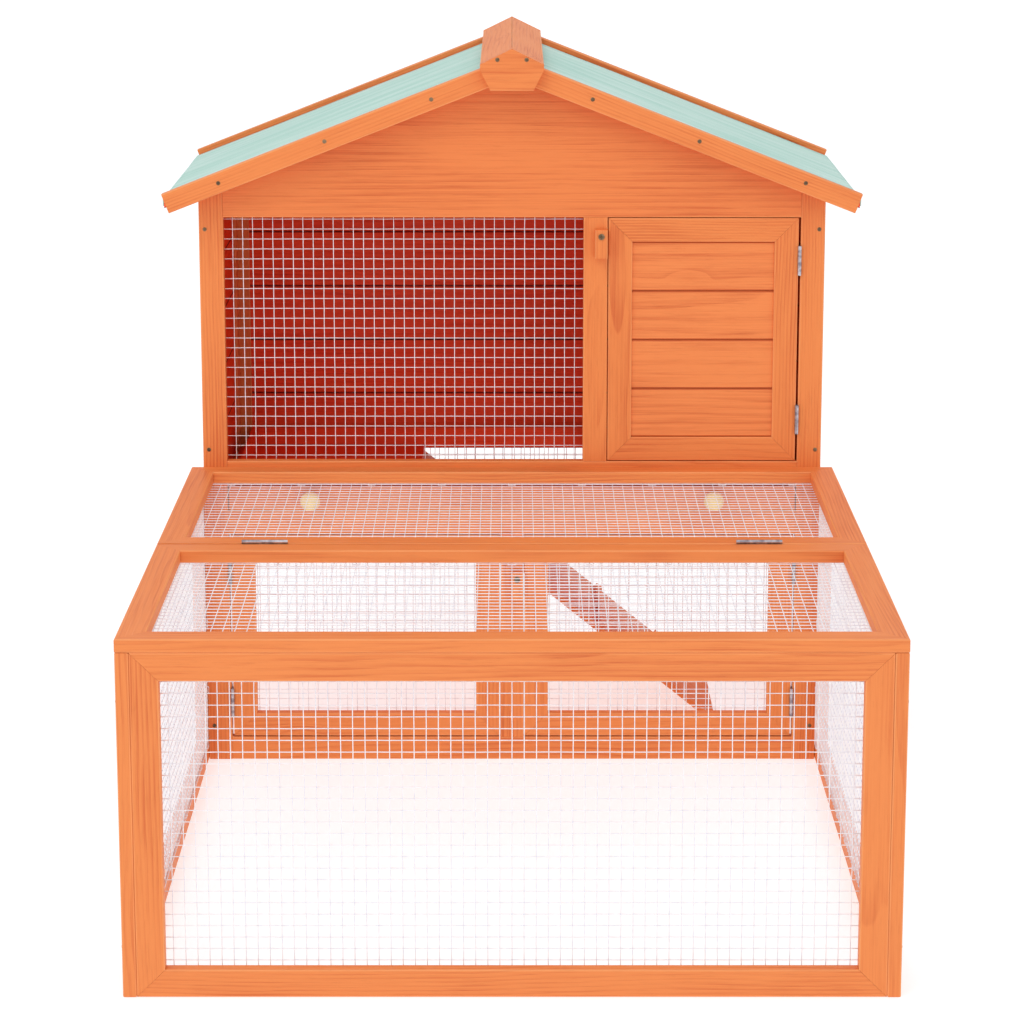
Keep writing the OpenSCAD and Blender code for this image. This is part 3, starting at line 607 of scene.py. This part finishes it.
STAPLED_FROM = {
    "front_mesh": 1, "back_mesh": -1, "left_mesh": 1, "right_mesh": -1, "run_front_mesh": 1,
    "run_left_mesh": 1, "run_right_mesh": -1, "run_top_mesh": -1, "lid_mesh": -1,
    "left_door_mesh": 1, "right_door_mesh": 1}
for node, inward in STAPLED_FROM.items():
    staples(node, WIRE_PANELS[node][0], inward)

# ---------------------------------------------------------------------------------------------------------
# The roofing felt: one sheet to a slope, pale green mineral chips in bitumen, laid a little unevenly on the
# boards and turned down over their lower edge.

ROOF_PITCH = math.radians(21.45)
FELT_THICK = 0.0015
FELT_LIP = 0.009        # how far it is turned down at the eave
FELT_PAST_DECK = 0.0016
FELT_DIP = 0.0005       # the most that it lies below a true plane
FELT_ROWS, FELT_COLUMNS = 64, 56


def felt_sheet(side):
    """A slope of felt, of points (distance down the slope, place along the ridge). A point goes down the
    plane to the eave, then straight down as a lip. Waves of a few sines sink it by up to FELT_DIP."""
    low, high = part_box("roof_felts")
    eave_x = high.x + FELT_PAST_DECK
    down = np.concatenate([np.linspace(0, 1, FELT_ROWS), 1 + np.linspace(0.3, 1, 4) * FELT_LIP / eave_x])
    x = np.minimum(down, 1.0)[:, None] * eave_x + np.zeros(FELT_COLUMNS)
    y = np.linspace(low.y, high.y, FELT_COLUMNS) + np.zeros_like(x)
    past = np.maximum(down - 1, 0)[:, None] * eave_x
    wave = np.sin(x * 23 + np.sin(y * 15) * 1.3) * np.sin(y * 31 + x * 9 + side) * 0.5 + 0.5
    z = high.z - x * math.tan(ROOF_PITCH) - past - wave * FELT_DIP
    points = np.stack([side * x, y, z], -1)
    index = np.arange(x.size).reshape(x.shape)
    faces = np.stack([index[:-1, :-1], index[1:, :-1], index[1:, 1:], index[:-1, 1:]], -1).reshape(-1, 4)
    return points.reshape(-1, 3), (faces if side > 0 else faces[:, ::-1]).tolist()


def mineral_felt(name, pale, deep, chip):
    """Chips by a fine noise over bitumen, in broad pale streaks that run down the slope."""
    made, paint = new_material(name)
    place = paint.node("TexCoord", {}, {}, "Object")
    streak = place.stretch(1.0, 7.0, 1.0).noise(5.0, 4.0).between(0.25, 0.75)
    cloud = place.noise(11.0, 3.0)
    chips = place.noise(950.0, 2.0)
    gap = place.noise(1500.0, 1.0).between(0.66, 0.74)
    colour = (streak * 0.62 + chips * 0.5 + cloud * 0.3 - 0.2).mix(deep, pale)
    colour = (gap * 0.6).mix(colour, chip)
    finish_surface(paint, {"Base Color": colour, "Roughness": 0.86, "Specular IOR Level": 0.25},
                   chips - gap * 0.4, 0.0005)
    return made


FELT = mineral_felt("roofing_felt", tint(212, 234, 228), tint(168, 212, 200), tint(140, 180, 172))
for side, name in ((-1, "left_felt"), (1, "right_felt")):
    sheet = set_piece(name, felt_sheet(side), "hutch", FELT, ("roof_felts",))
    thick = sheet.modifiers.new("thickness", "SOLIDIFY")
    thick.thickness = FELT_THICK
    thick.offset = -1.0

# ---------------------------------------------------------------------------------------------------------
# The screws: zinc-plated, with domed heads and a cross recess, each turned home at an angle of its own.

SCREW_SIDES = 24
DOME_SHARE = 0.45       # of the head's height that is dome
ARM_HALF = 0.15         # half the width of the recess's arms, in shares of the head's radius
ARM_REACH = 0.56        # how far out they go, in the same shares
RECESS_DEEP = 0.5       # in shares of the head's height
HEAD_RINGS = np.array([0.08, 0.2, 0.3, 0.4, 0.5, 0.58, 0.7, 0.84, 0.95, 1.0])


def screw_shape(place, out, head, tall, shank, long, turn):
    """A screw with its head's top at place and facing out. Its rings go from the tip up the shank, round the
    head and over the dome, tall * (1 - DOME_SHARE * r * r). The recess is where one of the two arms is."""
    one = np.roll(out, 1)
    two = np.cross(out, one)
    angle = np.arange(SCREW_SIDES) * 2 * np.pi / SCREW_SIDES
    radius = np.concatenate([[shank * 0.2, shank, shank, head], HEAD_RINGS[::-1] * head])
    dome = -DOME_SHARE * tall * HEAD_RINGS[::-1] ** 2
    height = np.concatenate([[-long, -long + 2 * shank, -tall, -tall], dome])
    flat = radius[:, None] * np.cos(angle), radius[:, None] * np.sin(angle)
    near, far = np.minimum(*np.abs(flat)), np.maximum(*np.abs(flat))
    recess = (near < ARM_HALF * head) * (far < ARM_REACH * head) * (height > -tall)[:, None]
    rise = height[:, None] - RECESS_DEEP * tall * recess
    right = flat[0] * math.cos(turn) - flat[1] * math.sin(turn)
    up = flat[0] * math.sin(turn) + flat[1] * math.cos(turn)
    points = place + rise[..., None] * out + right[..., None] * one + up[..., None] * two
    index = np.arange(points[..., 0].size).reshape(len(radius), SCREW_SIDES)
    after = np.roll(index, -1, 1)
    walls = np.stack([index[:-1], after[:-1], after[1:], index[1:]], -1).reshape(-1, 4)
    return points.reshape(-1, 3), walls.tolist() + [index[0, ::-1].tolist(), index[-1].tolist()]


def screws(node):
    """Puts a screw in the place of each of a CAD node's, with its head where the widest points are."""
    points, edges = mesh_arrays(frame["nodes"][node].data)
    merged, label = np.unique(points.round(6), axis=0, return_inverse=True)
    part = loose_parts(len(merged), label.ravel()[edges])
    luck = np.random.default_rng(zlib.crc32(node.encode()))
    shapes = []
    for name in np.unique(part):
        own = merged[part == name]
        low, high = own.min(0), own.max(0)
        run = int(np.argmax(high - low))
        middle = (low + high) / 2
        spread = np.linalg.norm(np.delete(own - middle, run, 1), axis=1)
        head = own[spread > spread.max() * 0.98][:, run]
        facing = 1.0 if head.mean() > middle[run] else -1.0
        out = np.eye(3)[run] * facing
        place = middle.copy()
        place[run] = high[run] if facing > 0 else low[run]
        shank = spread[np.abs(own[:, run] - place[run]) > np.ptp(head) * 1.5].max()
        shapes.append(screw_shape(place, out, spread.max(), np.ptp(head), shank, high[run] - low[run],
                                  luck.uniform(0, math.pi)))
    body = frame["nodes"][node]["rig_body"]
    set_piece(node + "_driven", join_shapes(shapes), body, SCREW, (node,), smooth=False)


SCREW = metal("screw_steel", tint(158, 134, 104), tint(108, 88, 66), 0.4, 0.2, shine=0.7)
for node in ("wall_screws", "roof_screws", "run_screws", "latch_screws", "hinge_screws", "lid_screws",
             "nest_door_screws", "left_door_screws", "right_door_screws"):
    screws(node)

# ---------------------------------------------------------------------------------------------------------
# The hinges: bright zinc-plated butts, leaves let into the gap between door and post, knuckles in front.

HINGE = metal("hinge_steel", tint(206, 202, 208), tint(142, 136, 146), 0.3, 0.22)
for node in ("hinge_leaves", "hinge_pins", "lid_leaves", "nest_door_leaves", "left_door_leaves",
             "right_door_leaves"):
    for slot in frame["nodes"][node].material_slots:
        slot.material = HINGE

# ---------------------------------------------------------------------------------------------------------
# The tray's knobs: beech balls, turned on short necks and left bare, glued into the tray's front.

KNOB_RADIUS = 0.013
NECK_RADIUS = 0.00585
KNOB_SIDES = 56


def knob_shape(place, reach):
    """A turned knob that points to -Y. The neck's radius follows half a sine wave, and the ball is a circle
    about its middle, cut to a small flat where the lathe's centre held it."""
    ball = reach - KNOB_RADIUS
    neck = np.linspace(0, 1, 9)
    start = math.pi - math.asin(NECK_RADIUS / KNOB_RADIUS)
    arc = np.linspace(start, 0.12, 34)
    neck_end = ball + KNOB_RADIUS * math.cos(start)
    hollow = NECK_RADIUS * (1.06 - 0.12 * np.sin(neck[:-1] * math.pi))
    out = np.concatenate([neck[:-1] * neck_end, ball + KNOB_RADIUS * np.cos(arc)])
    radius = np.concatenate([hollow, KNOB_RADIUS * np.sin(arc)])
    centres = np.empty((1, len(out), 3))
    centres[...] = place
    centres[..., Y] -= out
    one = np.zeros_like(centres)
    two = np.zeros_like(centres)
    one[..., X] = radius
    two[..., Z] = radius
    return tubes(centres, one, two, KNOB_SIDES)


BEECH = fir("bare_beech", tint(243, 216, 150), tint(216, 178, 104), ring_gap=0.0030, contrast=0.5)
knob_low, knob_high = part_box("tray_knobs")
knob_x, knob_z = knob_high.x - KNOB_RADIUS, (knob_low.z + knob_high.z) / 2
knob_places = [(side * knob_x, knob_high.y, knob_z) for side in (-1, 1)]
knobs = join_shapes([knob_shape(place, knob_high.y - knob_low.y) for place in knob_places])
knobs = set_piece("turned_knobs", knobs, "tray", BEECH, ("tray_knobs",))
set_grain(knobs.data, "turned_knobs", fibre=(0.0, 1.0, 0.0))
